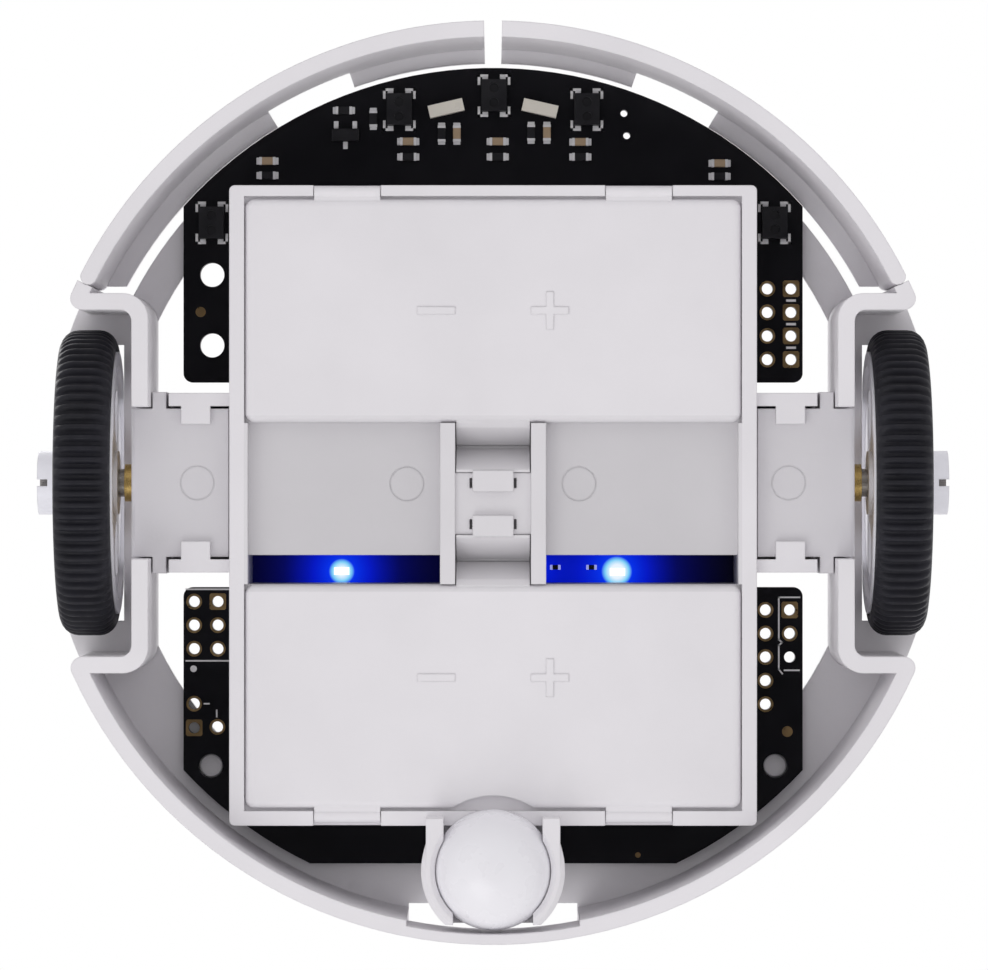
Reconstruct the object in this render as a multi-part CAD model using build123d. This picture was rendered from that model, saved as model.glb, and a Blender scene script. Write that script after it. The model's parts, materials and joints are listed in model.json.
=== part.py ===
from build123d import *
import os
from math import cos, degrees, pi, radians, sin

# A round two-wheeled coding robot. Millimetres, +Z up, wheels and ball caster on z = 0.
# Front is -Y, the robot's left is +X. The origin is under the centre of the skirt ring,
# half way between the wheels.

# ---- driving dimensions ----
ring_r = 48.5            # outside radius of the skirt ring
wall = 1.7               # skirt wall thickness
skirt_bottom = 4.0
skirt_top = 25.0
flange_t = 1.2           # inward flange at the top of the skirt

axle_z = 16.3            # wheel radius, and height of the wheel axle
tyre_x = (40.1, 46.1)    # tyre faces, from the centre plane
hub_end = 48.5           # end of the hub's outer boss
shaft_inset = 0.2        # the shaft stops this far inside the end of the boss
rim_r = 14.0             # hub rim, inside the tyre

ball_r = 6.35
ball_y = 40.75

board_bottom = 22.0
board_t = 1.6
board_side = 33.35       # straight sides of the control board

box_x = 27.85            # battery box, outside
box_y = (-31.4, 36.2)
box_bottom = 8.0
rail = 1.95              # thickness of the box's side rails
door_x = 26.2
door_t = 1.2
front_door_y = (-29.95, -6.4)
rear_door_y = (10.8, 34.35)
seam = 0.07              # clearance round a door
hinge_seam = 0.3         # clearance at its hinge edge, where the panel swings past the box
cell_r = 5.25
cell_len = 44.5
ceiling_t = 1.7          # between the cells and the control board

motor_half_y = 6.0       # gearmotor section, 12 x 10
motor_half_z = 5.0
gearbox_x = (29.2, 38.3)
can_end = 14.0
axis_gap = 3.4           # distance between the two gear axes
gear_teeth = ((16, 31), (14, 33), (13, 35), (14, 34))   # driver, driven, from the motor outwards
gear_slack = 0.04        # radial clearance at each gear mesh

clip_bottom = 10.0       # underside of the motor clips and motor plates
clip_t = 1.2

shaft_r = 1.5
pin_r = 0.4
run_fit = 0.05           # radial clearance of a running fit

board_top = board_bottom + board_t
flange_bottom = skirt_top - flange_t
wall_r = ring_r - wall
cell_z = box_bottom + door_t + 0.2 + cell_r
latch_mid = (front_door_y[1] + rear_door_y[0]) / 2   # the two doors are mirror images about this Y
os.makedirs("parts", exist_ok=True)


# ---- shape helpers ----
def block(x0, x1, y0, y1, z0, z1):
    """Box between two corners."""
    centre = Pos((x0 + x1) / 2, (y0 + y1) / 2, (z0 + z1) / 2)
    return centre * Box(abs(x1 - x0), abs(y1 - y0), abs(z1 - z0))


def rod(radius, x0, x1, y=0.0, z=0.0):
    """Cylinder along X."""
    return Pos((x0 + x1) / 2, y, z) * Rot(0, 90, 0) * Cylinder(radius, abs(x1 - x0))


def post(radius, x, y, z0, z1):
    """Cylinder along Z."""
    return Pos(x, y, (z0 + z1) / 2) * Cylinder(radius, z1 - z0)


def polar(radius, angle):
    """Point at an angle from the front, turning towards +X."""
    return (radius * sin(radians(angle)), -radius * cos(radians(angle)))


def sector(r_in, r_out, a0, a1, z0, z1):
    """Curved wall between two angles from the front."""
    mid = (a0 + a1) / 2
    edges = [
        Line(polar(r_in, a0), polar(r_out, a0)),
        ThreePointArc(polar(r_out, a0), polar(r_out, mid), polar(r_out, a1)),
        Line(polar(r_out, a1), polar(r_in, a1)),
        ThreePointArc(polar(r_in, a1), polar(r_in, mid), polar(r_in, a0)),
    ]
    return Pos(0, 0, z0) * extrude(Face(Wire(edges)), z1 - z0, dir=(0, 0, 1))


def profile_x(points, x0, x1):
    """Outline of (y, z) points, extruded along X."""
    wire = Wire.make_polygon([(x0, y, z) for y, z in points], close=True)
    return extrude(Face(wire), x1 - x0, dir=(1, 0, 0))


def both_sides(shape):
    return shape + mirror(shape, about=Plane.YZ)


def mirror_door(shape):
    """Turn a front-door piece into its rear twin."""
    return mirror(shape, about=Plane((0, latch_mid, 0), z_dir=(0, 1, 0)))


def group(shapes):
    return Compound(children=[solid for shape in shapes for solid in shape.solids()])


def save(name, shape):
    """Write one node, as a single solid where it is one."""
    solids = shape.solids()
    export_step(solids[0] if len(solids) == 1 else Compound(children=list(solids)), f"parts/{name}.step")


def save_pair(name, shape):
    """Write a left (+X) piece and its right (-X) mirror image."""
    save(f"{name}_left", shape)
    save(f"{name}_right", mirror(shape, about=Plane.YZ))


# ---- skirt: fixed ring with the two wheel wells ----
well_front, well_rear = -19.9, 20.0
well_in = 36.2
well_wall = 1.75
wheel_slot_x = 39.85     # slot in the ceiling for the tyre, 0.1 clear of the hub's inner face
wheel_slot_y = 14.9
corner_r = 1.2           # rounded ends of the well walls
root_angle = 63.0        # where the bumper arms are rooted
knuckle_r = wall / 2
notch_x = 9.1            # rear notch around the caster
notch_wall = 1.1
notch_top = 13.0         # the ring is only a low bar behind the caster
flange_r = 40.25         # inner edge of the rear flange
peg_x, peg_y, peg_r = 30.4, 30.5, 1.2
peg_end = board_bottom + 1.3


def well_ring(inset, corner, z0, z1):
    """Plan of one wheel well, open to the outside, with rounded inner corners."""
    far = 70.0
    x0, y0, y1 = well_in + inset, well_front + inset, well_rear - inset
    slab = block(x0, far, y0, y1, z0, z1)
    inner = [e for e in slab.edges().filter_by(Axis.Z) if e.center().X < x0 + 1]
    return fillet(inner, corner)


def wheel_well(disc):
    """Walls and ceiling of the +X wheel well, with the flange that joins it to the bumper arm's root."""
    outer = well_ring(0, 2.7, skirt_bottom, skirt_top)
    inner = well_ring(well_wall, 1.2, skirt_bottom - 1, flange_bottom)
    well = (outer & disc) - inner
    well -= block(30, well_in + 2.1, -8.0, 8.0, skirt_bottom, flange_bottom)
    return well + sector(40.2, 43.8, 46, 65.5, flange_bottom, skirt_top)


def wheel_opening():
    """Cut through the ring beside the wheel, and the slot above it for the tyre."""
    beside = block(well_in + 3, 60, well_front + well_wall, well_rear - well_wall,
                   skirt_bottom - 1, flange_bottom)
    return beside + block(wheel_slot_x, 60, -wheel_slot_y, wheel_slot_y, skirt_bottom - 1, skirt_top + 1)


def bumper_skirt():
    middle = (skirt_bottom + skirt_top) / 2
    height = skirt_top - skirt_bottom
    disc = Pos(0, 0, middle) * Cylinder(ring_r, height)
    root = polar(wall_r + wall / 2, root_angle)
    first = root_angle + degrees(knuckle_r / ring_r)
    ring = sector(wall_r, ring_r, first, 360 - first, skirt_bottom, skirt_top)
    flange = sector(flange_r, wall_r + 0.1, 108, 252, flange_bottom, skirt_top)
    flange -= block(-notch_x, notch_x, 45.4, 60, flange_bottom, skirt_top)
    wells = [wheel_well(disc), mirror(wheel_well(disc), about=Plane.YZ)]
    skirt = ring + flange + wells[0] + wells[1]
    skirt -= wheel_opening()
    skirt -= mirror(wheel_opening(), about=Plane.YZ)
    for side in (1, -1):
        skirt -= post(knuckle_r + run_fit, side * root[0], root[1], skirt_bottom - 1, skirt_top + 1)
    for side in (1, -1):
        skirt += post(peg_r, side * peg_x, peg_y, peg_end, flange_bottom)
    notch = Pos(0, 0, middle) * Cylinder(ring_r - notch_wall, height)
    notch &= block(-notch_x, notch_x, 40, 60, skirt_bottom, flange_bottom)
    skirt -= notch
    skirt -= block(-notch_x, notch_x, 45.4, 60, notch_top, skirt_top + 1)
    ends = [e for e in skirt.edges().filter_by(Axis.Z)
            if abs(e.center().Y) < well_rear and abs(e.center().X) > 44.5 and e.length > 10]
    return fillet(ends, corner_r)


def bumper_arm():
    """The sprung front arm on the +X side, with its rounded root knuckle."""
    start = 1.12
    low_top = 22.6       # the arm dips where a cable plug passes over it
    dip = (19.3, 31.2)
    arm = sector(wall_r, ring_r, start, root_angle, skirt_bottom, skirt_top)
    arm += sector(45.3, wall_r + 0.1, start, dip[0], flange_bottom, skirt_top)
    root_lip = sector(44.9, wall_r + 0.1, dip[1], root_angle, flange_bottom, skirt_top)
    arm += root_lip - block(0, 60, -21.2, 0, 0, 40)
    arm -= sector(40, 60, dip[0], dip[1], low_top, skirt_top + 1)
    end = polar(wall_r + wall / 2, root_angle)
    return arm + post(knuckle_r, end[0], end[1], skirt_bottom, skirt_top)


save("bumper_skirt", bumper_skirt())
save_pair("bumper_arm", bumper_arm())


# ---- control board ----
board_front_r = 44.7
board_rear_r = 45.5
board_rear_y = 41.0
cut_x, cut_y = 27.3, (-10.8, 11.25)      # openings beside the gearboxes
mount_hole_r = 1.3
mount_x, mount_y = -30.25, (-22.4, -14.8)
pad_hole_r = 0.6
pitch = 2.54


def header_holes():
    """Centres of the plated through holes in the four corner blocks."""
    holes = [(x, 12.8 + pitch * i) for x in (-32.2, -29.65) for i in range(3)]
    holes += [(x, -20.9 + pitch * i) for x in (29.55, 32.1) for i in range(4)]
    holes += [(29.35, 13.7 + pitch * i) for i in range(5)]
    holes += [(31.95, 13.7 + pitch * i) for i in range(3)]
    return holes + [(-32.2, 23.8), (-29.7, 26.3), (-32.2, 26.4)]


def control_board():
    middle = board_bottom + board_t / 2
    front = Pos(0, 0, middle) * Cylinder(board_front_r, board_t)
    rear = Pos(0, 0, middle) * Cylinder(board_rear_r, board_t)
    board = front & block(-board_side, board_side, -50, 1, board_bottom, board_top)
    board += rear & block(-board_side, board_side, 0, board_rear_y, board_bottom, board_top)
    for side in (1, -1):
        board -= block(side * cut_x, side * 40, cut_y[0], cut_y[1], board_bottom, board_top)
        board -= post(peg_r + 0.1, side * peg_x, peg_y, board_bottom, board_top)
    corners = [e for e in board.edges().filter_by(Axis.Z)
               if abs(e.center().X) > board_side - 0.1 and cut_y[0] - 0.1 < e.center().Y < cut_y[1] + 0.1]
    board = fillet(corners, 1.0)
    for y in mount_y:
        board -= post(mount_hole_r, mount_x, y, board_bottom, board_top)
    for x, y in header_holes():
        board -= post(pad_hole_r, x, y, board_bottom, board_top)
    for x, y in ((14.1, -39.8), (14.4, -37.4)):
        board -= post(0.375, x, y, board_bottom, board_top)
    for x, y in screw_places():
        board -= post(screw_r + 0.1, x, y, board_bottom, board_top)
    return board


# ---- screws through the board into the chassis ribs, between the two cells of each pair ----
screw_r = 0.97
screw_len = 5.0
front_cells_y = (front_door_y[0] + 0.95 + cell_r + 0.1, front_door_y[1] - 1.0 - cell_r - 0.1)
rear_cells_y = (rear_door_y[0] + 1.2 + cell_r + 0.1, rear_door_y[0] + 1.2 + 3 * cell_r + 0.4)


def middle_of(pair):
    return (pair[0] + pair[1]) / 2


def screw_places():
    return [(x, middle_of(cells)) for x in (-16, 16) for cells in (front_cells_y, rear_cells_y)]


def board_screws():
    screws = []
    for x, y in screw_places():
        head = post(1.9, x, y, board_top, board_top + 1.3)
        head -= Pos(x, y, board_top + 1.0) * Box(2.2, 0.5, 0.7)
        head -= Pos(x, y, board_top + 1.0) * Box(0.5, 2.2, 0.7)
        screws.append(head + post(screw_r, x, y, board_top - screw_len, board_top))
    return screws


# ---- chassis: battery box, motor bays, latch column and caster housing ----
inner_x = box_x - rail
front_bay = (front_cells_y[0] - cell_r - 0.15, front_cells_y[1] + cell_r + 0.15)
rear_bay = (rear_cells_y[0] - cell_r - 0.15, rear_cells_y[1] + cell_r + 0.15)
ceiling = board_bottom - ceiling_t
door_top = box_bottom + door_t + seam
column_x, valley_x = 5.6, 4.05
plate_y = (front_door_y[1] + seam, 7.65)
bridge_y = (-1.05, 5.5)
hook_x = (29.9, 33.0)
arm_x = 34.3
clip_wall_y = 8.0
tab_x, tab_end = 2.15, 0.95   # finger tab of each latch, over the bridge
housing_r = 7.56
socket_r = ball_r + 0.15
housing_bottom = 3.6
housing_top = 13.4
arm_gap = 5.2            # the cup opens at the front between its two arms
arm_lead = 6.6           # lead-in radius at the lower edge of the arms
scallop_r = 7.72         # round cut-out of the rear door, around the cup
hinge_tab_x = (11.9, 18.9)
hinge_z = box_bottom + 0.6
front_hinge_y = front_door_y[0] - 0.8
rear_hinge_y = rear_door_y[1] + 0.95


def ejector_ring(x, y, z):
    """Shallow round witness line in a moulded face."""
    return post(1.85, x, y, z - 1, z + 0.07) - post(1.72, x, y, z - 1, z + 0.07)


def caster_housing():
    """Cup around the ball, cut flat at the rear and open below."""
    cup = post(housing_r, 0, ball_y, housing_bottom, housing_top)
    cup += block(-7.05, 7.05, 35.2, 38.2, housing_bottom, housing_top)
    lower = [e for e in cup.edges().filter_by(GeomType.CIRCLE) if e.center().Z < housing_bottom + 0.1]
    cup = chamfer(lower, 0.5)
    cup += block(-5.0, 5.0, 40, 46.4, housing_top - 2, board_bottom)
    cup -= block(-arm_gap, arm_gap, 30, 38, 0, door_top)
    cup -= Pos(0, ball_y, ball_r) * Sphere(socket_r)
    lead_in = 0.7
    cup -= Pos(0, ball_y, housing_bottom + lead_in / 2) * Cone(arm_lead, arm_lead - lead_in, lead_in)
    cup -= block(-4.2, 4.2, 45.2, 60, 0, ball_r + 1)
    return cup - block(-10, 10, 46.4, 60, 0, 30)


def scallop_shelf():
    """Thin shelf inside the box that closes the rear door's round cut-out."""
    shelf = post(scallop_r + 0.7, 0, ball_y, door_top, door_top + 1)
    shelf &= block(-9, 9, 30, 36, 0, 30)
    return shelf - Pos(0, ball_y, ball_r) * Sphere(socket_r)


def chassis_base():
    box = block(-box_x, box_x, box_y[0], box_y[1], box_bottom, board_bottom)
    sides = [e for e in box.edges().filter_by(Axis.Z)]
    box = fillet(sides, 0.6)
    front_recess = (front_door_y[0] - hinge_seam, front_door_y[1] + seam)
    rear_recess = (rear_door_y[0] - seam, rear_door_y[1] + hinge_seam)
    for recess, bay in ((front_recess, front_bay), (rear_recess, rear_bay)):
        box -= block(-inner_x, inner_x, bay[0], bay[1], box_bottom - 1, ceiling)
        box -= block(-door_x - seam, door_x + seam, *recess, box_bottom - 1, door_top)
    # hinge notches in the two end walls
    notches = block(hinge_tab_x[0] - seam, hinge_tab_x[1] + seam, box_y[0] - 1, front_door_y[0],
                    box_bottom - 1, door_top)
    notches += block(hinge_tab_x[0] - seam, hinge_tab_x[1] + seam, rear_door_y[1], box_y[1] + 1,
                     box_bottom - 1, door_top)
    box -= both_sides(notches)
    # motor bays with a recessed plate below, and the slots that show the board
    half_y = motor_half_y + 0.1
    bays = block(column_x, inner_x, plate_y[0], plate_y[1], box_bottom - 1, clip_bottom)
    bays += block(column_x, box_x + 1, -half_y, half_y, clip_bottom + clip_t, board_bottom + 1)
    bays += block(column_x, inner_x, plate_y[1], rear_door_y[0] - seam, box_bottom - 1, board_bottom + 1)
    box -= both_sides(bays)
    # latch column: two U-shaped valleys and a bridge between them
    column = block(-column_x + 1.6, column_x - 1.6, front_door_y[1], bridge_y[0], box_bottom - 1, 14)
    column += mirror_door(column)
    column += block(-column_x + 1.6, column_x - 1.6, bridge_y[0] - 0.1, bridge_y[1] + 0.1,
                    box_bottom - 1, box_bottom + 0.45)
    box -= column
    slit = block(tab_x + 0.05, tab_x + 0.33, -0.5, 0.55, box_bottom - 1, box_bottom + 2)
    box -= both_sides(slit + mirror_door(slit))
    box -= both_sides(ejector_ring(9.1, 0.1, clip_bottom))
    # ribs between the cells take the board screws
    for cells in (front_cells_y, rear_cells_y):
        mid = middle_of(cells)
        box += block(-20, 20, mid - 1.4, mid + 1.4, cell_z + 3.7, ceiling + 0.1)
    for x, y in screw_places():
        box -= post(screw_r + 0.03, x, y, board_top - screw_len - 0.1, board_bottom + 1)
    # cradles over the gearboxes, with hooks that hold the motor clips
    roof_z = axle_z + motor_half_z + 0.1
    cradle = block(box_x - 0.4, 38.0, -9.5, 9.5, roof_z, roof_z + 1.4)
    cradle -= block(35, 45, -10, -8.0, 0, 30) + block(35, 45, 8.0, 10, 0, 30)
    for side in (1, -1):
        y0, y1 = sorted((side * 8.1, side * 9.5))
        cradle += block(box_x - 0.4, arm_x, y0, y1, box_bottom + 1.2, roof_z + 0.2)
        hook0, hook1 = sorted((side * 6.2, side * 8.2))
        cradle += block(hook_x[0], hook_x[1], hook0, hook1, box_bottom + 1.2, clip_bottom - 0.05)
    box += both_sides(cradle)
    cup = caster_housing()
    cup -= block(-inner_x, inner_x, rear_bay[0], rear_bay[1], door_top, ceiling)
    box -= Pos(0, ball_y, ball_r) * Sphere(socket_r)
    return box + cup + scallop_shelf()


# ---- battery doors, with the fixed half of each U-shaped latch ----
latch_pivot = (-3.6, 12.6)
latch_r = 0.55
door_fillet = 0.8


def door_emboss(y):
    """Plain raised battery marks: a bar for minus and a cross for plus."""
    z0, z1 = box_bottom - 0.12, box_bottom + 0.1
    marks = block(-8, -4, y - 0.4, y + 0.4, z0, z1)
    marks += block(4, 8, y - 0.4, y + 0.4, z0, z1)
    return marks + block(5.6, 6.4, y - 2, y + 2, z0, z1)


def door_panel(y0, y1):
    panel = block(-door_x, door_x, y0, y1, box_bottom, box_bottom + door_t)
    panel = fillet(panel.edges().filter_by(Axis.Z), 1.0)
    rims = [e for e in panel.edges() if e.center().Z < box_bottom + 0.1]
    return fillet(rims, door_fillet)


def fixed_finger():
    """The part of the front latch that goes up from the door's edge and turns at the pivot."""
    py, pz = latch_pivot
    edge = front_door_y[1]
    outline = [(edge - 0.6, box_bottom + 0.3), (edge, box_bottom + 0.3), (edge + 0.6, box_bottom + 0.8),
               (py - 0.38, pz - 0.75), (py - 0.38, pz - 0.5), (py - 0.7, pz - 0.1),
               (py - 0.7, pz + 0.4), (py - 1.5, pz + 0.4),
               (edge + 0.1, box_bottom + door_t + 0.02), (edge - 0.6, box_bottom + 1.1)]
    return profile_x(outline, -valley_x + 0.15, valley_x - 0.15)


def latch_tongue():
    """The sprung half of the front latch, with the tab that lies over the bridge."""
    py, pz = latch_pivot
    x1 = valley_x - 0.15
    heel = rod(latch_r, -x1, x1, py, pz)
    tab_edge = bridge_y[0] - run_fit
    outline = [(py - 0.1, pz - latch_r), (py + 0.2, pz + latch_r), (py + 0.9, pz + 0.2),
               (tab_edge, box_bottom + 1.3), (tab_edge, box_bottom + 0.15), (tab_edge - 0.3, box_bottom + 0.15)]
    tongue = heel + profile_x(outline, -x1, x1)
    return tongue + block(-tab_x, tab_x, tab_edge - 0.2, tab_end, box_bottom - 0.35, box_bottom + 0.4)


def front_door():
    panel = door_panel(*front_door_y)
    tab = rod(0.6, hinge_tab_x[0], hinge_tab_x[1], front_hinge_y, hinge_z)
    tab += block(hinge_tab_x[0], hinge_tab_x[1], front_hinge_y, front_door_y[0] + 1, hinge_z - 0.3, hinge_z + 0.6)
    return panel + both_sides(tab) + fixed_finger() + door_emboss(middle_of(front_door_y))


def rear_door():
    panel = door_panel(*rear_door_y)
    tab = rod(0.6, hinge_tab_x[0], hinge_tab_x[1], rear_hinge_y, hinge_z)
    tab += block(hinge_tab_x[0], hinge_tab_x[1], rear_door_y[1] - 1, rear_hinge_y, hinge_z - 0.3, hinge_z + 0.6)
    panel -= post(scallop_r, 0, ball_y, 0, 20)
    finger = mirror_door(fixed_finger())
    return panel + both_sides(tab) + finger + door_emboss(middle_of(rear_door_y) - 2)


save("control_board", control_board())
save("board_screws", group(board_screws()))
save("chassis_base", chassis_base())
save("battery_door_front", front_door())
save("battery_door_rear", rear_door())
save("door_latch_front", latch_tongue())
save("door_latch_rear", mirror_door(latch_tongue()))


# ---- ball caster ----
save("caster_ball", Pos(0, ball_y, ball_r) * Sphere(ball_r))


# ---- motor clips ----
def motor_clip():
    """Channel under one gearbox, held by the chassis hooks."""
    clip = block(28.0, gearbox_x[1], -7.85, 7.85, clip_bottom, clip_bottom + clip_t)
    outer_edge = [e for e in clip.edges().filter_by(Axis.Y)
                  if e.center().X > 38 and e.center().Z < clip_bottom + 0.1]
    clip = fillet(outer_edge, 0.5)
    for side in (1, -1):
        y0, y1 = sorted((side * (motor_half_y + 0.1), side * 7.85))
        clip += block(28.2, gearbox_x[1], y0, y1, clip_bottom + 0.5, axle_z + motor_half_z - 0.1)
        ear0, ear1 = sorted((side * 7.5, side * 9.6))
        clip += block(34.6, 36.05, ear0, ear1, clip_bottom, axle_z + motor_half_z - 0.1)
    clip -= ejector_ring(31.3, 0, clip_bottom)
    return clip


save_pair("motor_clip", motor_clip())


# ---- gearmotor: can, end cap, gearbox plates, rotor and gear train ----
can_wall = 0.6
can_x = (can_end, gearbox_x[0])
plate_t = 0.8
inner_end = gearbox_x[1] - plate_t
bushing_r, bushing_end = 2.0, 39.3
stage_x = ((30.3, 31.8), (32.0, 33.5), (33.7, 35.2), (35.4, 37.2))
backlash_root = 0.25     # depth of a tooth space


def motor_section(x0, x1, inset=0.0):
    """Round body with two flats, 12 x 10."""
    body = rod(motor_half_y - inset, x0, x1, 0, axle_z)
    flat = motor_half_z - inset
    return body & block(x0, x1, -10, 10, axle_z - flat, axle_z + flat)


def motor_can():
    can = motor_section(*can_x)
    can -= motor_section(can_x[0] - 1, can_x[1] - can_wall, can_wall)
    return can - rod(0.9, can_x[0] - 1, can_x[1] + 1, 0, axle_z)


def motor_endcap():
    cap = motor_section(can_end - 0.1, can_end + 1.6, can_wall + 0.05)
    cap += motor_section(can_end - 0.7, can_end - 0.02, 0.1)
    cap += rod(1.8, can_end - 1.3, can_end, 0, axle_z)
    for side in (1, -1):
        cap += block(can_end - 1.5, can_end, side * 4.6 - 0.2, side * 4.6 + 0.2, axle_z - 1, axle_z + 1)
    return cap - rod(0.5 + run_fit, can_end - 2, can_end + 3, 0, axle_z)


def gearbox_plate(x0, x1):
    return block(x0, x1, -motor_half_y, motor_half_y, axle_z - motor_half_z, axle_z + motor_half_z)


def gearbox_rear_plate():
    """Plate against the can, with three spacer posts and the fixed gear pin."""
    x0, x1 = gearbox_x[0] + 0.02, gearbox_x[0] + 0.02 + plate_t
    plate = gearbox_plate(x0, x1) - rod(1.4, x0 - 1, x1 + 1, 0, axle_z)
    for y, z in ((-5.0, 3.9), (-5.0, -3.9), (5.1, -4.1)):
        plate += rod(0.7, x1 - 0.1, inner_end - 0.02, y, axle_z + z)
    return plate + rod(pin_r, x1 - 0.1, inner_end - 0.02, axis_gap, axle_z)


def gearbox_front_plate():
    plate = gearbox_plate(inner_end, gearbox_x[1])
    plate += rod(bushing_r, inner_end, bushing_end, 0, axle_z)
    return plate - rod(shaft_r + run_fit, inner_end - 1, bushing_end + 1, 0, axle_z)


def gear(teeth, mate, x0, x1, y):
    """Flat spur gear. Its tip circle stays clear of the mate's at every angle."""
    tip = axis_gap * teeth / (teeth + mate) - gear_slack
    root = tip - backlash_root
    points = []
    for i in range(teeth):
        for part, radius in ((0.0, root), (0.25, tip), (0.5, tip), (0.75, root)):
            angle = 2 * pi * (i + part) / teeth
            points.append((y + radius * cos(angle), axle_z + radius * sin(angle)))
    return profile_x(points, x0, x1)


def compound_gear(first, second, y):
    """Wheel driven at one stage and pinion that drives the next, in one piece."""
    drive_in, drive_out = gear_teeth[first], gear_teeth[second]
    (a0, a1), (b0, b1) = stage_x[first], stage_x[second]
    piece = gear(drive_in[1], drive_in[0], a0, a1, y)
    piece += gear(drive_out[0], drive_out[1], a1 - 0.1, b1, y)
    return piece - rod(pin_r + run_fit, a0 - 1, b1 + 1, y, axle_z)


def rotor():
    """Armature and shaft, with the encoder disc behind and the first pinion in front."""
    turning = rod(0.5, 9.5, stage_x[0][0] + 0.1, 0, axle_z)
    turning += rod(3.6, 17.5, 26.5, 0, axle_z) + rod(3.8, 9.6, 11.4, 0, axle_z)
    turning += rod(1.4, 16.0, 17.6, 0, axle_z)
    return turning + gear(*gear_teeth[0], *stage_x[0], 0)


def output_shaft():
    """D-shaft with the last gear and the spigot that carries the middle gear."""
    shaft = rod(shaft_r, stage_x[3][0], hub_end - shaft_inset, 0, axle_z)
    shaft -= block(bushing_end + 0.5, hub_end + 1, -2, 2, axle_z + 1.0, axle_z + 3)
    shaft += gear(gear_teeth[3][1], gear_teeth[3][0], *stage_x[3], 0)
    return shaft + rod(pin_r, stage_x[1][0], stage_x[3][0] + 0.1, 0, axle_z)


save_pair("motor_can", motor_can())
save_pair("motor_endcap", motor_endcap())
save_pair("gearbox_rear_plate", gearbox_rear_plate())
save_pair("gearbox_front_plate", gearbox_front_plate())
save_pair("rotor", rotor())
save_pair("gear_first", compound_gear(0, 1, axis_gap))
save_pair("gear_middle", compound_gear(1, 2, 0))
save_pair("gear_last", compound_gear(2, 3, axis_gap))
save_pair("output_shaft", output_shaft())


# ---- wheels ----
hub_x = (39.95, 45.6)
spoke_holes = 6


def hub():
    """Rim, web with round windows, and the bored boss that takes the D-shaft."""
    rim = rod(rim_r, hub_x[0], hub_x[1], 0, axle_z) - rod(rim_r - 1.5, 0, 60, 0, axle_z)
    web = rod(rim_r - 1, hub_x[0] + 0.5, hub_x[0] + 2.0, 0, axle_z)
    for i in range(spoke_holes):
        angle = 2 * pi * (i + 0.5) / spoke_holes
        web -= rod(2.9, 0, 60, 8.2 * cos(angle), axle_z + 8.2 * sin(angle))
    boss = rod(3.4, hub_x[0], hub_end, 0, axle_z)
    bore = rod(shaft_r + 0.01, 0, hub_end + 1, 0, axle_z)
    bore -= block(0, 60, -2, 2, axle_z + 1.01, axle_z + 3)
    boss -= block(hub_end - 1.1, hub_end + 1, -0.35, 0.35, axle_z - 4, axle_z + 4)
    return rim + web + boss - bore


def tyre():
    """Rounded tread on the rim."""
    body = rod(axle_z, tyre_x[0], tyre_x[1], 0, axle_z) - rod(rim_r + 0.02, 0, 60, 0, axle_z)
    shoulders = [e for e in body.edges().filter_by(GeomType.CIRCLE) if abs(e.radius - axle_z) < 0.01]
    return fillet(shoulders, 1.6)


save_pair("wheel_hub", hub())
save_pair("tyre", tyre())


# ---- cells and their contacts ----
def cell_places():
    """(y, direction of the positive end) of the four cells."""
    return [(y, sign) for pair in (front_cells_y, rear_cells_y) for y, sign in zip(pair, (1, -1))]


def cell(y, sign):
    half = cell_len / 2
    body = rod(cell_r, -half, half - 0.9, y, cell_z)
    ends = [e for e in body.edges().filter_by(GeomType.CIRCLE)]
    body = fillet(ends, 0.5) + rod(1.9, half - 1.0, half, y, cell_z)
    return body if sign > 0 else mirror(body, about=Plane.YZ)


def leaf_contact(y, sign):
    """Bent strip that presses on a cell's negative end."""
    foot, face, half_w = inner_x - 0.05, cell_len / 2 + 0.1, 1.6
    leaf = block(foot - 0.4, foot, y - 3.6, y + 3.6, cell_z - 3.6, cell_z + 3.6)
    leaf += block(face, foot, y - half_w, y + half_w, cell_z + 1.9, cell_z + 2.2)
    leaf += block(face, face + 0.3, y - half_w, y + half_w, cell_z - 1.8, cell_z + 2.2)
    return leaf if sign < 0 else mirror(leaf, about=Plane.YZ)


def button_contact(y, sign):
    """Plate with a raised button for a cell's positive end."""
    foot = inner_x - 0.05
    plate = block(foot - 0.4, foot, y - 3.6, y + 3.6, cell_z - 3.6, cell_z + 3.6)
    plate += rod(1.6, cell_len / 2 + 0.1, foot, y, cell_z)
    return plate if sign > 0 else mirror(plate, about=Plane.YZ)


places = cell_places()
save("cells_front", group(cell(y, sign) for y, sign in places[:2]))
save("cells_rear", group(cell(y, sign) for y, sign in places[2:]))
save("battery_leaf_contacts", group(leaf_contact(y, sign) for y, sign in places))
save("battery_button_contacts", group(button_contact(y, sign) for y, sign in places))


# ---- parts under the board ----
line_sensor_places = ((0.1, -41.7), (10.1, -40.2), (-10.1, -40.2), (30.3, -28.0), (-30.3, -28.0))
led_places = ((-16.3, 9.5), (13.4, 9.6))


def line_sensor(x, y):
    """Reflectance sensor with an emitter well and a detector well."""
    body = block(x - 1.35, x + 1.35, y - 1.7, y + 1.7, board_bottom - 1.4, board_bottom)
    for shift in (-0.8, 0.8):
        body -= post(0.5, x, y + shift, board_bottom - 1.5, board_bottom - 1.1)
    return body


def bump_sensor(side):
    """Side-looking sensor that watches a bumper arm."""
    body = Rot(0, 0, side * 13) * Box(3.8, 1.35, 1.3)
    return Pos(side * 5.05, -40.3, board_bottom - 0.65) * body


save("line_sensors", group(line_sensor(x, y) for x, y in line_sensor_places))
save("bump_sensors", group(bump_sensor(side) for side in (1, -1)))
save("status_leds", group(block(x - 0.8, x + 0.8, y - 0.4, y + 0.4, board_bottom - 0.7, board_bottom)
                          for x, y in led_places))


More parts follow.
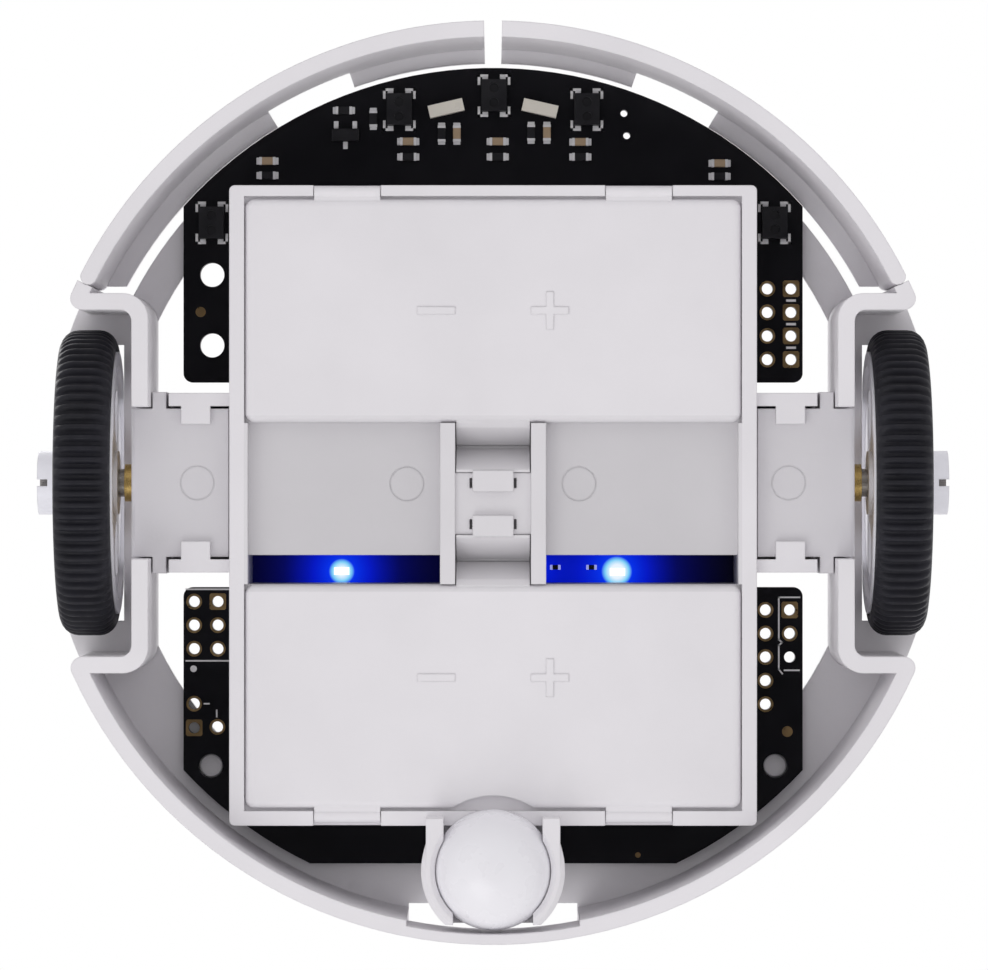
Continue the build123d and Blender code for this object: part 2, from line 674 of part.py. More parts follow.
# ---- parts on top of the board ----
display_z = 30.2
display_y = (-6.0, 26.0)
glass_top = 32.9
key_places = ((-12, 33), (0, 33), (12, 33))
power_place, reset_place = (-24, 20), (24, 20)
key_travel = 0.25


def key_housing(x, y, size, height, hole_r):
    body = block(x - size / 2, x + size / 2, y - size / 2, y + size / 2, board_top, board_top + height)
    body -= post(hole_r, x, y, board_top + 0.8, board_top + height + 1)
    return body


def key_plunger(x, y, radius, foot, top):
    return post(radius, x, y, board_top + foot, board_top + top)


def usb_connector():
    """Micro socket on the edge of the board, facing out over the low part of the right arm."""
    shell = Box(7.5, 5.4, 2.6) - Pos(0, -0.8, 0) * Box(6.9, 4.6, 1.9) + Pos(0, -0.2, 0.3) * Box(5.0, 4.4, 0.5)
    place = polar(41.4, -25.2)
    return Pos(place[0], place[1], board_top + 1.3) * Rot(0, 0, -25.2) * shell


def display_headers():
    strips = []
    for y in (display_y[0] + 2.0, display_y[1] - 2.0):
        strips.append(block(-9, 9, y - 1.25, y + 1.25, board_top, display_z))
    return strips


save("display_board", block(-18, 18, display_y[0], display_y[1], display_z, display_z + 1.2))
save("display_glass", block(-13.5, 13.5, 0.2, 20.0, display_z + 1.2, glass_top))
save("display_headers", group(display_headers()))
save("usb_connector", usb_connector())
save("buzzer", post(4.5, 20, -28, board_top, board_top + 3.2) - post(0.8, 20, -28, board_top + 2, board_top + 4))
chips = [(0, -24, 3.5), (-11, -31, 2.0), (11, -31, 2.0), (-24, -6, 1.6), (24, -6, 1.6)]
save("board_chips", group(block(x - h, x + h, y - h, y + h, board_top, board_top + 0.9) for x, y, h in chips))
housings = [key_housing(x, y, 4.2, 2.0, 1.1) for x, y in key_places]
housings += [key_housing(x, y, 6.0, 3.4, 1.75) for x, y in (power_place, reset_place)]
save("button_housings", group(housings))
for name, (x, y) in zip("abc", key_places):
    save(f"button_{name}", key_plunger(x, y, 1.05, 1.2, 2.9))
save("power_button", key_plunger(*power_place, 1.7, 1.2, 4.6))
save("reset_button", key_plunger(*reset_place, 1.7, 1.2, 4.0))
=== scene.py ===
import json
import math

import bmesh
import bpy
from mathutils import Matrix, Vector


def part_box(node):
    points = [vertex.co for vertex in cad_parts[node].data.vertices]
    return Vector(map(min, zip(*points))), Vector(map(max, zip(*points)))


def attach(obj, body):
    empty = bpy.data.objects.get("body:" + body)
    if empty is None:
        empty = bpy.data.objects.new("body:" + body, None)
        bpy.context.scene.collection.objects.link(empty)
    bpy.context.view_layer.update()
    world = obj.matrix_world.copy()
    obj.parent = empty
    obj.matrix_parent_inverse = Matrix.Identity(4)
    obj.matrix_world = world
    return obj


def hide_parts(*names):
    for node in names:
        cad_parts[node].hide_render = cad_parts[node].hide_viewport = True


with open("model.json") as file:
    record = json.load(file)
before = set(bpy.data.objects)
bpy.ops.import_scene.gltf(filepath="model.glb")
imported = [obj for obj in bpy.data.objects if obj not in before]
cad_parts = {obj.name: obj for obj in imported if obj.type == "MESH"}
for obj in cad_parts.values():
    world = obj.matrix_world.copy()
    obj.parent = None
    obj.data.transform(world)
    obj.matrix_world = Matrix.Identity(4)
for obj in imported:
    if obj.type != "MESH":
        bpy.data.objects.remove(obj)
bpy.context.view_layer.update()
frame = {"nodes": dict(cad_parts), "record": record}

scene = bpy.context.scene
scene.view_settings.view_transform = "Standard"
nodes = frame["nodes"]
MM = 0.001
UNDERSIDE, TOPSIDE = (corner.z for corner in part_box("control_board"))
lamp_low, lamp_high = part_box("status_leds")
lamp_y = (lamp_low.y + lamp_high.y) / 2
lamp_inset = 0.8 * MM         # from the end of the lamp's body to its die
LAMPS = [(x, lamp_y, lamp_low.z) for x in (lamp_low.x + lamp_inset, lamp_high.x - lamp_inset)]
# painted glow: strength of the glow painted round each lamp die and round the stray spot
LAMP_GLOW_WEIGHTS = (1.15, 1.2)
STRAY_GLOW = (5.0 * MM, lamp_y, lamp_low.z)     # painted glow: a stray spot standing in for light that also leaks out, beside the column
STRAY_GLOW_WEIGHT = 0.5


# ---- camera: straight up at the underside, front of the robot at the top ----
CAMERA_PLACE = (0.0001, 0.00024, -0.666)
CAMERA_LENS = 232.7
CAMERA_SENSOR = 36


def add_camera():
    data = bpy.data.cameras.new("camera")
    data.sensor_width = CAMERA_SENSOR
    data.lens = CAMERA_LENS
    data.clip_start = 0.01
    camera = bpy.data.objects.new("camera", data)
    scene.collection.objects.link(camera)
    right, up, back = Vector((1, 0, 0)), Vector((0, -1, 0)), Vector((0, 0, -1))
    turn = Matrix((right, up, back)).transposed().to_4x4()
    camera.matrix_world = Matrix.Translation(CAMERA_PLACE) @ turn
    scene.camera = camera


# ---- light: a white tent all round, with a dark hole straight below for the camera ----
TENT = 0.81
HOLE_EDGE = (0.84, 0.95)     # how far down a ray points where the hole's soft edge starts and ends
HOLE = 0.05                  # strength inside the hole


def add_world():
    world = bpy.data.worlds.new("studio")
    scene.world = world
    world.use_nodes = True
    tree = world.node_tree
    tree.nodes.clear()
    backdrop = tree.nodes.new("ShaderNodeBackground")
    backdrop.inputs["Color"].default_value = (1, 1, 1, 1)
    tent = tree.nodes.new("ShaderNodeBackground")
    tent.inputs["Color"].default_value = (1.0, 0.985, 1.0, 1)
    direction = tree.nodes.new("ShaderNodeTexCoord")
    split = tree.nodes.new("ShaderNodeSeparateXYZ")
    hole = tree.nodes.new("ShaderNodeMapRange")
    hole.interpolation_type = "SMOOTHSTEP"
    hole.inputs["From Min"].default_value = -HOLE_EDGE[1]
    hole.inputs["From Max"].default_value = -HOLE_EDGE[0]
    hole.inputs["To Min"].default_value = HOLE
    hole.inputs["To Max"].default_value = TENT
    tree.links.new(direction.outputs["Generated"], split.inputs[0])
    tree.links.new(split.outputs["Z"], hole.inputs["Value"])
    tree.links.new(hole.outputs["Result"], tent.inputs["Strength"])
    path = tree.nodes.new("ShaderNodeLightPath")
    mix = tree.nodes.new("ShaderNodeMixShader")
    out = tree.nodes.new("ShaderNodeOutputWorld")
    tree.links.new(path.outputs["Is Camera Ray"], mix.inputs[0])
    tree.links.new(tent.outputs[0], mix.inputs[1])
    tree.links.new(backdrop.outputs[0], mix.inputs[2])
    tree.links.new(mix.outputs[0], out.inputs["Surface"])


def add_area(name, place, target, size, watts, glossy=True):
    data = bpy.data.lights.new(name, "AREA")
    data.size = size
    data.energy = watts
    lamp = bpy.data.objects.new(name, data)
    scene.collection.objects.link(lamp)
    lamp.location = place
    lamp.visible_glossy = glossy
    aim = Vector(target) - Vector(place)
    lamp.rotation_euler = aim.to_track_quat("-Z", "Y").to_euler()


def add_lights():
    """Name, place, target, size in metres and watts of each soft lamp."""
    add_area("key_below", (-0.25, 0.42, -0.50), (0, 0, 0), 0.45, 0.8)
    add_area("fill_below", (0, 0, -0.75), (0, 0, 0), 0.40, 0.66, glossy=False)
    add_area("key_above", (-0.35, -0.35, 0.60), (0, 0, 0), 0.45, 2.6)
    add_area("fill_above", (0.45, 0.30, 0.45), (0, 0, 0), 0.50, 0.8)


# ---- floor: pale, seen only from above ----
FLOOR_HALF = 1.5
FLOOR_Z = -0.0004            # just under the wheels


def add_floor():
    mesh = bpy.data.meshes.new("studio_floor")
    half, z = FLOOR_HALF, FLOOR_Z
    corners = [(-half, -half, z), (half, -half, z), (half, half, z), (-half, half, z)]
    mesh.from_pydata(corners, [], [(0, 1, 2, 3)])
    floor = bpy.data.objects.new("studio_floor", mesh)
    scene.collection.objects.link(floor)
    material = bpy.data.materials.new("studio_floor")
    material.use_nodes = True
    tree = material.node_tree
    shader = tree.nodes["Principled BSDF"]
    shader.inputs["Base Color"].default_value = (0.80, 0.80, 0.80, 1)
    shader.inputs["Roughness"].default_value = 0.7
    side = tree.nodes.new("ShaderNodeNewGeometry")
    clear = tree.nodes.new("ShaderNodeBsdfTransparent")
    mix = tree.nodes.new("ShaderNodeMixShader")
    tree.links.new(side.outputs["Backfacing"], mix.inputs[0])
    tree.links.new(shader.outputs[0], mix.inputs[1])
    tree.links.new(clear.outputs[0], mix.inputs[2])
    tree.links.new(mix.outputs[0], tree.nodes["Material Output"].inputs["Surface"])
    mesh.materials.append(material)
    for flag in ("visible_shadow", "visible_diffuse", "visible_glossy", "visible_transmission"):
        setattr(floor, flag, False)


# ---- materials ----
BAY_HALF_X, BAY_MIDDLE_Y, BAY_HALF_Y = 26.3 * MM, 2.2 * MM, 9.3 * MM
BAY_SHADE = (8.1 * MM, 12.0 * MM, 0.92, 0.66)    # painted shade: from one height to another, from one factor to another


class Look:
    """One procedural material, with helpers for its nodes. Sizes are in millimetres."""

    def __init__(self, name, rough=0.5, metal=0.0, specular=0.5):
        self.material = bpy.data.materials.new(name)
        self.material.use_nodes = True
        self.tree = self.material.node_tree
        self.shader = self.tree.nodes["Principled BSDF"]
        self.shader.inputs["Roughness"].default_value = rough
        self.shader.inputs["Metallic"].default_value = metal
        self.shader.inputs["Specular IOR Level"].default_value = specular
        self.coords = self.add("ShaderNodeTexCoord").outputs["Object"]
        self.normal = None

    def add(self, kind, **values):
        node = self.tree.nodes.new(kind)
        for key, value in values.items():
            setattr(node, key, value)
        return node

    def link(self, a, b):
        self.tree.links.new(a, b)

    def noise(self, size, detail=2.0, rough=0.5, stretch=(1, 1, 1)):
        """Noise whose features are about this size."""
        mapping = self.add("ShaderNodeMapping")
        mapping.inputs["Scale"].default_value = [s / (size * MM) for s in stretch]
        self.link(self.coords, mapping.inputs["Vector"])
        node = self.add("ShaderNodeTexNoise")
        node.inputs["Scale"].default_value = 1.0
        node.inputs["Detail"].default_value = detail
        node.inputs["Roughness"].default_value = rough
        self.link(mapping.outputs[0], node.inputs["Vector"])
        return node.outputs["Fac"]

    def ramp(self, value, stops):
        """Colour ramp from (position, colour) stops."""
        node = self.add("ShaderNodeValToRGB")
        ramp = node.color_ramp
        while len(ramp.elements) < len(stops):
            ramp.elements.new(0.5)
        for element, (place, color) in zip(ramp.elements, stops):
            element.position = place
            element.color = (*color, 1)
        self.link(value, node.inputs["Fac"])
        return node.outputs["Color"]

    def math(self, operation, a, b=None):
        node = self.add("ShaderNodeMath", operation=operation)
        self.link(a, node.inputs[0])
        if b is not None:
            if isinstance(b, (int, float)):
                node.inputs[1].default_value = b
            else:
                self.link(b, node.inputs[1])
        return node.outputs[0]

    def spread(self, value, low, high):
        node = self.add("ShaderNodeMapRange")
        node.inputs["From Min"].default_value = 0.3
        node.inputs["From Max"].default_value = 0.7
        node.inputs["To Min"].default_value = low
        node.inputs["To Max"].default_value = high
        self.link(value, node.inputs["Value"])
        return node.outputs["Result"]

    def color(self, value, dark, light):
        self.link(self.ramp(value, ((0.3, dark), (0.7, light))), self.shader.inputs["Base Color"])
        return self

    def shade_middle_bay(self):
        """Painted shade: darken the base colour of the faces between the two doors, the more the deeper they
        lie.
        """
        split = self.add("ShaderNodeSeparateXYZ")
        self.link(self.coords, split.inputs[0])
        across = self.math("LESS_THAN", self.math("ABSOLUTE", split.outputs["X"]), BAY_HALF_X)
        offset = self.math("ABSOLUTE", self.math("SUBTRACT", split.outputs["Y"], BAY_MIDDLE_Y))
        inside = self.math("MULTIPLY", self.math("LESS_THAN", offset, BAY_HALF_Y), across)
        depth = self.add("ShaderNodeMapRange")
        for name, value in zip(("From Min", "From Max", "To Min", "To Max"), BAY_SHADE):
            depth.inputs[name].default_value = value
        self.link(split.outputs["Z"], depth.inputs["Value"])
        mix = self.add("ShaderNodeMix", data_type="RGBA", blend_type="MULTIPLY")
        self.link(inside, mix.inputs["Factor"])
        self.link(self.shader.inputs["Base Color"].links[0].from_socket, mix.inputs["A"])
        self.link(depth.outputs["Result"], mix.inputs["B"])
        self.link(mix.outputs["Result"], self.shader.inputs["Base Color"])

    def roughness(self, value, low, high):
        self.link(self.spread(value, low, high), self.shader.inputs["Roughness"])
        return self

    def soft_edges(self, radius):
        node = self.add("ShaderNodeBevel", samples=4)
        node.inputs["Radius"].default_value = radius * MM
        self.normal = node.outputs["Normal"]
        self.link(self.normal, self.shader.inputs["Normal"])
        return self

    def bump(self, value, depth, strength=1.0):
        node = self.add("ShaderNodeBump")
        node.inputs["Strength"].default_value = strength
        node.inputs["Distance"].default_value = depth * MM
        self.link(value, node.inputs["Height"])
        if self.normal:
            self.link(self.normal, node.inputs["Normal"])
        self.normal = node.outputs["Normal"]
        self.link(self.normal, self.shader.inputs["Normal"])
        return self


def tint(color, factor):
    return tuple(min(1.0, c * factor) for c in color)


def moulded(name, color, rough, grain=0.35, depth=0.012, edge=0.22, cloud=1.0, painted_bay_shade=False):
    """Moulded plastic: faint clouding, fine spark-eroded grain and slightly rounded edges; optionally also
    painted shade that deepens with depth in the middle bay between the doors.
    """
    look = Look(name, rough)
    look.color(look.noise(14, 3), tint(color, 1 - 0.035 * cloud), tint(color, 1 + 0.02 * cloud))
    # painted shade, darker with depth, between the doors
    if painted_bay_shade:
        look.shade_middle_bay()
    look.roughness(look.noise(3.0, 3), rough - 0.06, rough + 0.06)
    look.soft_edges(edge)
    look.bump(look.noise(grain, 2), depth)
    return look.material


def metal(name, color, rough, stretch, depth=0.006):
    """Machined or rolled metal with fine marks along one direction."""
    look = Look(name, rough, metal=1.0)
    look.color(look.noise(2.0, 4, 0.6), tint(color, 0.82), tint(color, 1.08))
    look.roughness(look.noise(0.6, 3, stretch=stretch), rough - 0.1, rough + 0.12)
    look.soft_edges(0.08)
    look.bump(look.noise(0.15, 2, stretch=stretch), depth)
    return look.material


# painted glow: its reach round each spot, and its colour from weak to strong
GLOW_REACH = 2.8
GLOW = ((0.01, (0, 0, 0)), (0.03, (0.0, 0.0, 0.015)), (0.12, (0.0, 0.001, 0.09)), (0.38, (0.0, 0.008, 0.55)),
        (0.66, (0.0, 0.03, 0.80)), (0.74, (0.20, 0.62, 0.92)), (0.86, (0.80, 0.90, 1.0)))


def painted_lamp_glow(look, low_side):
    """Painted glow: emission painted over a surface round the two lit lamps and a stray spot, standing in for
    their scattered light: white, then blue, then nothing.
    """
    total = None
    for place, power in zip(LAMPS + [STRAY_GLOW], LAMP_GLOW_WEIGHTS + (STRAY_GLOW_WEIGHT,)):
        gap = look.add("ShaderNodeVectorMath", operation="DISTANCE")
        look.link(look.coords, gap.inputs[0])
        gap.inputs[1].default_value = place
        fade = look.math("EXPONENT", look.math("MULTIPLY", gap.outputs["Value"], -1 / (GLOW_REACH * MM)))
        fade = look.math("MULTIPLY", fade, power)
        total = fade if total is None else look.math("ADD", total, fade)
    look.link(look.ramp(total, GLOW), look.shader.inputs["Emission Color"])
    split = look.add("ShaderNodeSeparateXYZ")
    look.link(look.coords, split.inputs[0])
    below = look.math("LESS_THAN", split.outputs["Z"], low_side)
    look.link(below, look.shader.inputs["Emission Strength"])


def solder_mask(name, color):
    """Black solder mask: glossy, with the weave and buried tracks barely showing."""
    look = Look(name, 0.34, specular=0.22)
    look.color(look.noise(6.0, 2), tint(color, 0.92), tint(color, 1.12))
    look.roughness(look.noise(3.0, 2), 0.30, 0.38)
    weave = look.add("ShaderNodeTexWave", bands_direction="X")
    weave.inputs["Scale"].default_value = 1 / (1.3 * MM)
    weave.inputs["Distortion"].default_value = 1.2
    look.link(look.coords, weave.inputs["Vector"])
    look.bump(weave.outputs["Fac"], 0.002, 0.5)
    look.bump(look.noise(0.25, 2), 0.002)
    # painted glow round the lamps, on the underside only
    painted_lamp_glow(look, (UNDERSIDE + TOPSIDE) / 2)
    return look.material


def rubber(name, color):
    look = Look(name, 0.62, specular=0.35)
    look.color(look.noise(4.0, 4), tint(color, 0.8), tint(color, 1.35))
    look.roughness(look.noise(1.2, 3), 0.50, 0.72)
    look.bump(look.noise(0.18, 3), 0.015)
    return look.material


def lamp(name, color, strength):
    """Glowing body by emission over a noisy base colour: a lit lamp, or painted glow on a part that is no
    lamp.
    """
    look = Look(name, 0.25)
    look.color(look.noise(0.6, 2), tint(color, 0.7), color)
    look.shader.inputs["Emission Color"].default_value = (*color, 1)
    look.shader.inputs["Emission Strength"].default_value = strength
    look.bump(look.noise(0.3, 2), 0.01)
    return look.material


WHITE = (0.855, 0.838, 0.865)
looks = {
    "white_shell": moulded("shell_plastic", WHITE, 0.46),
    # painted shade: the motor clips are the same white plastic, given a greyer tone for their deeper place
    "clip_plastic": moulded("clip_plastic", (0.72, 0.705, 0.73), 0.5),
    "board_black": solder_mask("solder_mask", (0.0044, 0.0043, 0.0064)),
    "hub_white": moulded("hub_plastic", (0.87, 0.87, 0.91), 0.34, depth=0.005),
    "tyre_rubber": rubber("tyre_rubber", (0.0085, 0.0085, 0.0135)),
    "ball_white": moulded("ball_plastic", (0.90, 0.895, 0.93), 0.28, depth=0.002, edge=0.02, cloud=0.3),
    "motor_steel": metal("motor_steel", (0.42, 0.40, 0.37), 0.34, (1, 8, 8)),
    "gear_brass": metal("gear_brass", (0.66, 0.47, 0.17), 0.3, (8, 1, 1)),
    "endcap_plastic": moulded("endcap_plastic", (0.62, 0.61, 0.56), 0.5),
    "cell_wrap": moulded("cell_wrap", (0.08, 0.22, 0.12), 0.3, depth=0.004),
    "contact_nickel": metal("contact_nickel", (0.60, 0.58, 0.53), 0.28, (1, 6, 1)),
    "screw_steel": metal("screw_steel", (0.44, 0.44, 0.45), 0.32, (1, 1, 1)),
    "sensor_black": moulded("sensor_epoxy", (0.0055, 0.0055, 0.008), 0.40, depth=0.01, edge=0.08),
    "sensor_pale": moulded("sensor_pale", (0.80, 0.77, 0.68), 0.32, depth=0.008, edge=0.1),
    "led_blue": lamp("lit_led", (0.80, 0.90, 1.0), 1.6),
    "display_glass": moulded("display_glass", (0.006, 0.006, 0.010), 0.10, depth=0.0005, edge=0.1),
    "button_cap": moulded("button_cap", (0.02, 0.02, 0.024), 0.45, edge=0.1),
    "power_cap": moulded("power_cap", (0.30, 0.02, 0.02), 0.42, edge=0.1),
    "pad_gold": metal("pad_gold", (0.42, 0.29, 0.14), 0.36, (1, 1, 1), 0.01),
    "silk_white": moulded("silk_white", (0.80, 0.80, 0.80), 0.6, depth=0.004, edge=0.02),
}
solder = moulded("solder_ends", (0.74, 0.74, 0.75), 0.35, depth=0.01, edge=0.04)
# painted shade: a copy of the shell plastic, darkened with depth between the two doors
shaded_box_shell = moulded("box_plastic_painted_shade", WHITE, 0.46, painted_bay_shade=True)
# painted glow: blue emission on solder ends beside the lamps, which are no lamp
solder_painted_glow = lamp("solder_painted_glow", (0.45, 0.50, 1.0), 0.55)
ceramic = moulded("capacitor_ceramic", (0.40, 0.29, 0.18), 0.38, depth=0.006, edge=0.05)


# the box pieces take the shell plastic with painted shade
BOX_PARTS = ("chassis_base", "battery_door_front", "battery_door_rear", "door_latch_front", "door_latch_rear")
BOX_LOOKS = dict.fromkeys(BOX_PARTS, shaded_box_shell)


def dress_nodes():
    """Give every CAD node the look of its slot."""
    for entry in frame["record"]["subparts"]:
        mesh = nodes[entry["node"]].data
        mesh.materials.clear()
        mesh.materials.append(BOX_LOOKS.get(entry["node"], looks[entry["material_slot"]]))


# ---- added pieces ----
def piece(name, mesh, body, slot, look=None):
    """Link a mesh as a piece of the robot, riding on a body."""
    made = bpy.data.objects.new(name, mesh)
    scene.collection.objects.link(made)
    mesh.materials.append(look or looks[slot])
    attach(made, body)
    return made


def grid_mesh(name, rings):
    """Quad mesh over rings of points, with the last ring joined to the first."""
    count = len(rings[0])
    verts = [point for ring in rings for point in ring]
    faces = []
    for i in range(len(rings)):
        a, b = i * count, (i + 1) % len(rings) * count
        for j in range(count):
            k = (j + 1) % count
            faces.append((a + j, a + k, b + k, b + j))
    mesh = bpy.data.meshes.new(name)
    mesh.from_pydata(verts, [], faces)
    mesh.shade_smooth()
    return mesh


# tyre: rounded section with ribs moulded across the tread
RIBS = 84
STEPS = 10
RIB_DEPTH = 0.55 * MM
RIB_HALF = 2.35 * MM
RIB_END = 0.8 * MM           # the ribs fade out over this width
TREAD_BAND = 1.2 * MM        # depth below the tread where the ribs can cut
SHOULDER = 1.9 * MM
BEAD = 0.3 * MM
TYRE_THICK = 2.27 * MM


def tyre_section(half, outer, inner):
    """(x, radius) loop of the tyre's cross-section, from the tread's middle outwards."""
    shoulder = SHOULDER
    loop = []
    tread_points = 9
    for i in range(tread_points):
        loop.append(((i / (tread_points - 1) * 2 - 1) * (half - shoulder), outer))
    for i in range(1, 7):
        angle = i / 6 * math.pi / 2
        loop.append((half - shoulder + shoulder * math.sin(angle), outer - shoulder * (1 - math.cos(angle))))
    loop += [(half, inner + BEAD), (half - BEAD, inner)]
    loop += [(-half + BEAD, inner), (-half, inner + BEAD)]
    for i in range(6, 0, -1):
        angle = i / 6 * math.pi / 2
        loop.append((-half + shoulder - shoulder * math.sin(angle), outer - shoulder * (1 - math.cos(angle))))
    return loop


def add_tyre(side):
    low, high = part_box(f"tyre_{side}")
    centre = (low + high) / 2
    half, outer = (high.x - low.x) / 2, (high.z - low.z) / 2
    inner = outer - TYRE_THICK
    rings = []
    for i in range(RIBS * STEPS):
        turn = 2 * math.pi * i / (RIBS * STEPS)
        swing = 0.5 - 0.5 * math.cos(2 * math.pi * i / STEPS)
        groove = max(0.0, min(1.0, (swing - 0.25) / 0.5))
        ring = []
        for x, radius in tyre_section(half, outer, inner):
            fade = 0.0
            if radius > outer - TREAD_BAND:
                fade = max(0.0, min(1.0, (RIB_HALF - abs(x)) / RIB_END + 0.5))
            r = radius - RIB_DEPTH * fade * groove
            ring.append((centre.x + x, centre.y + r * math.sin(turn), centre.z + r * math.cos(turn)))
        rings.append(ring)
    name = f"ribbed_tyre_{side}"
    made = piece(name, grid_mesh(name, rings), f"wheel_{side}", "tyre_rubber")
    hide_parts(f"tyre_{side}")


# ---- soldered and printed details of the board, in millimetres from the robot's centre ----
PITCH = 2.54
PLATED = 0.04
PRINT = 0.02
ROUND_PADS = [(-32.2, 12.8 + PITCH * i) for i in range(3)] + [(-29.65, 12.8 + PITCH * i) for i in (1, 2)]
ROUND_PADS += [(29.55, -20.9 + PITCH * i) for i in range(4)] + [(29.35, 13.7 + PITCH * i) for i in range(5)]
ROUND_PADS += [(31.95, 13.7 + PITCH), (-32.2, 23.8), (-29.7, 26.3)]
SQUARE_PADS = [(32.1, -20.9 + PITCH * i) for i in range(4)] + [(-29.65, 12.8), (31.95, 13.7), (-32.2, 26.4)]
TEST_DOTS = [(-31.5, -18.4, 0.55), (31.7, 26.8, 0.58), (15.6, 40.1, 0.3)]
LINE_SENSORS = [(0.1, -41.7), (-10.1, -40.2), (10.1, -40.2), (-30.3, -28.0), (30.3, -28.0)]
FLAT_CAPS = [(-24.3, -34.65), (-9.14, -36.75), (0.5, -36.75), (9.4, -36.7), (24.4, -34.4)]
FLAT_RESISTORS = [(-24.3, -33.1), (-9.14, -35.1), (0.5, -35.1), (9.4, -35.1), (24.4, -33.0), (-16.07, -40.1)]
UPRIGHT_CAPS = [(-3.9, -37.6), (5.8, -37.7)]
UPRIGHT_RESISTORS = [(-5.54, -37.6), (4.1, -37.7), (-12.9, -39.2)]
LAMP_RESISTORS = [(6.7, 9.1), (10.6, 9.1)]
TRANSISTOR = (-15.9, -37.45)
CAP_OUT, FOOT_OUT = 0.74, 1.02     # metal cap and solder foot, from the middle of a part


class Solids:
    """Collects small closed solids in one mesh. Places are in millimetres, in the board's plane."""

    def __init__(self):
        self.mesh = bmesh.new()

    def box(self, x, y, z0, z1, long, wide, turn=0.0):
        rise = abs(z1 - z0)
        size = Matrix.Diagonal((long * MM, wide * MM, rise, 1))
        place = Matrix.Translation((x * MM, y * MM, (z0 + z1) / 2)) @ Matrix.Rotation(turn, 4, "Z")
        bmesh.ops.create_cube(self.mesh, size=1.0, matrix=place @ size)

    def line(self, a, b, width, z0, z1):
        (ax, ay), (bx, by) = a, b
        long = math.hypot(bx - ax, by - ay) + width
        self.box((ax + bx) / 2, (ay + by) / 2, z0, z1, long, width, math.atan2(by - ay, bx - ax))

    def ring(self, x, y, z0, z1, outer, inner, square=False, steps=32):
        """Flat pad with a hole through it. A square pad keeps its round hole."""
        loops = []
        for z, hole in ((z0, False), (z1, False), (z1, True), (z0, True)):
            loop = []
            for i in range(steps):
                angle = 2 * math.pi * (i + 0.5) / steps
                c, s = math.cos(angle), math.sin(angle)
                r = inner if hole else outer / max(abs(c), abs(s)) if square else outer
                loop.append(self.mesh.verts.new(((x + r * c) * MM, (y + r * s) * MM, z)))
            loops.append(loop)
        for a, b in zip(loops, loops[1:] + loops[:1]):
            for i in range(steps):
                j = (i + 1) % steps
                self.mesh.faces.new((a[i], a[j], b[j], b[i]))

    def disc(self, x, y, z0, z1, radius):
        place = Matrix.Translation((x * MM, y * MM, (z0 + z1) / 2))
        bmesh.ops.create_cone(self.mesh, cap_ends=True, segments=32, radius1=radius * MM, radius2=radius * MM,
                              depth=abs(z1 - z0), matrix=place)

    def finish(self, name, slot, round_off=0.0, look=None):
        if round_off:
            edges = self.mesh.edges[:]
            bmesh.ops.bevel(self.mesh, geom=edges, offset=round_off * MM, segments=2, affect="EDGES")
        bmesh.ops.recalc_face_normals(self.mesh, faces=self.mesh.faces)
        mesh = bpy.data.meshes.new(name)
        self.mesh.to_mesh(mesh)
        self.mesh.free()
        return piece(name, mesh, "chassis", slot, look)


def under(height):
    """Lower and upper limits of something this tall on the board's underside, sunk in a little."""
    return UNDERSIDE - height * MM, UNDERSIDE + 0.01 * MM


def over(height):
    return TOPSIDE - 0.01 * MM, TOPSIDE + height * MM


def add_pads():
    pads = Solids()
    for face in (under(PLATED), over(PLATED)):
        for x, y in ROUND_PADS:
            pads.ring(x, y, *face, 0.85, 0.61)
        for x, y in SQUARE_PADS:
            pads.ring(x, y, *face, 0.89, 0.61, square=True)
    for x, y, radius in TEST_DOTS:
        pads.disc(x, y, *under(PLATED), radius)
    pads.finish("board_pads", "pad_gold")


def corner_marks(marks, x, y, half_x, half_y, arm, width):
    """Four printed corner brackets round a part."""
    face = under(PRINT)
    for sx in (-1, 1):
        for sy in (-1, 1):
            cx, cy = x + sx * half_x, y + sy * half_y
            marks.line((cx, cy), (cx - sx * arm, cy), width, *face)
            marks.line((cx, cy), (cx, cy - sy * arm), width, *face)


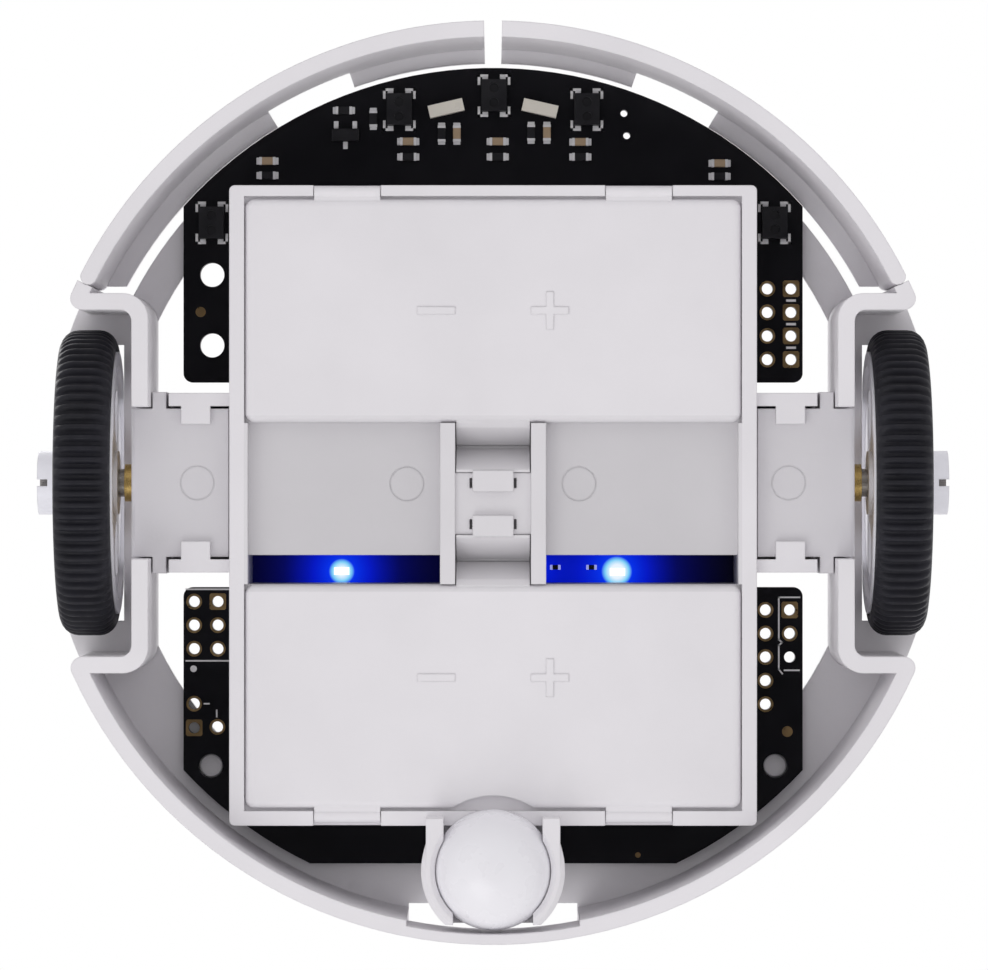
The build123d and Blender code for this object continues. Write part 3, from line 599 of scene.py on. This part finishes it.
def add_markings():
    """Printed lines on the underside: brackets, block outlines and ticks, with no lettering."""
    marks = Solids()
    face = under(PRINT)
    for x, y in LINE_SENSORS:
        corner_marks(marks, x, y, 1.62, 2.15, 0.85, 0.28)
    left, right = -33.05, -28.1
    for y in (11.47, 19.18):
        marks.line((left, y), (right, y), 0.17, *face)
    marks.line((-31.1, 23.8), (-30.6, 23.8), 0.16, *face)
    marks.line((-29.77, 24.5), (-29.77, 25.2), 0.16, *face)
    marks.disc(-32.27, 20.03, *face, 0.36)
    outline = [(33.0, 12.34), (30.78, 12.34), (30.78, 16.9), (31.15, 17.2)]
    outline += [(30.78, 17.5), (30.78, 20.1), (31.15, 20.55)]
    for a, b in zip(outline, outline[1:]):
        marks.line(a, b, 0.17, *face)
    marks.line((31.4, 20.2), (32.95, 20.2), 0.17, *face)
    for i in range(3):
        y = -20.9 + PITCH * (i + 0.5)
        marks.line((31.7, y), (32.5, y), 0.26, *face)
    marks.finish("board_markings", "silk_white")


def add_small_parts():
    """Surface-mounted parts: tan capacitors, dark resistors, one transistor, all with bright ends; the lamp
    resistors' ends carry a painted blue glow.
    """
    caps, resistors, ends, painted_glow_ends = Solids(), Solids(), Solids(), Solids()
    rows = [(FLAT_CAPS, caps, 0.0, 0.62), (UPRIGHT_CAPS, caps, math.pi / 2, 0.62)]
    rows += [(FLAT_RESISTORS, resistors, 0.0, 0.42), (UPRIGHT_RESISTORS, resistors, math.pi / 2, 0.42)]
    for places, bodies, turn, height in rows:
        along = Vector((math.cos(turn), math.sin(turn)))
        for x, y in places:
            bodies.box(x, y, *under(height), 1.3, 0.82, turn)
            for sign in (-1, 1):
                cap, foot = sign * CAP_OUT, sign * FOOT_OUT
                ends.box(x + cap * along.x, y + cap * along.y, *under(height + 0.02), 0.32, 0.84, turn)
                ends.box(x + foot * along.x, y + foot * along.y, *under(0.16), 0.34, 0.76, turn)
    # the ends of the lamp resistors carry painted glow
    for x, y in LAMP_RESISTORS:
        resistors.box(x, y, *under(0.32), 0.7, 0.5)
        for sign in (-1, 1):
            painted_glow_ends.box(x + sign * 0.42, y, *under(0.34), 0.3, 0.52)
    tx, ty = TRANSISTOR
    resistors.box(tx, ty, *under(0.95), 2.9, 1.3)
    for x, y in ((tx - 1.0, ty - 1.1), (tx + 1.0, ty - 1.1), (tx, ty + 1.1)):
        ends.box(x, y, *under(0.18), 0.5, 0.8)
    for x, y in LINE_SENSORS:
        for sx in (-1, 1):
            for sy in (-1, 1):
                ends.box(x + sx * 0.95, y + sy * 1.88, *under(0.1), 0.62, 0.3)
    caps.finish("capacitors", "sensor_pale", 0.07, ceramic)
    resistors.finish("resistors", "sensor_black", 0.05)
    ends.finish("part_ends", "contact_nickel", 0.03, solder)
    painted_glow_ends.finish("lamp_resistor_ends", "contact_nickel", 0.03, solder_painted_glow)


add_camera()
add_world()
add_lights()
add_floor()
dress_nodes()
for side in ("left", "right"):
    add_tyre(side)
add_pads()
add_markings()
add_small_parts()
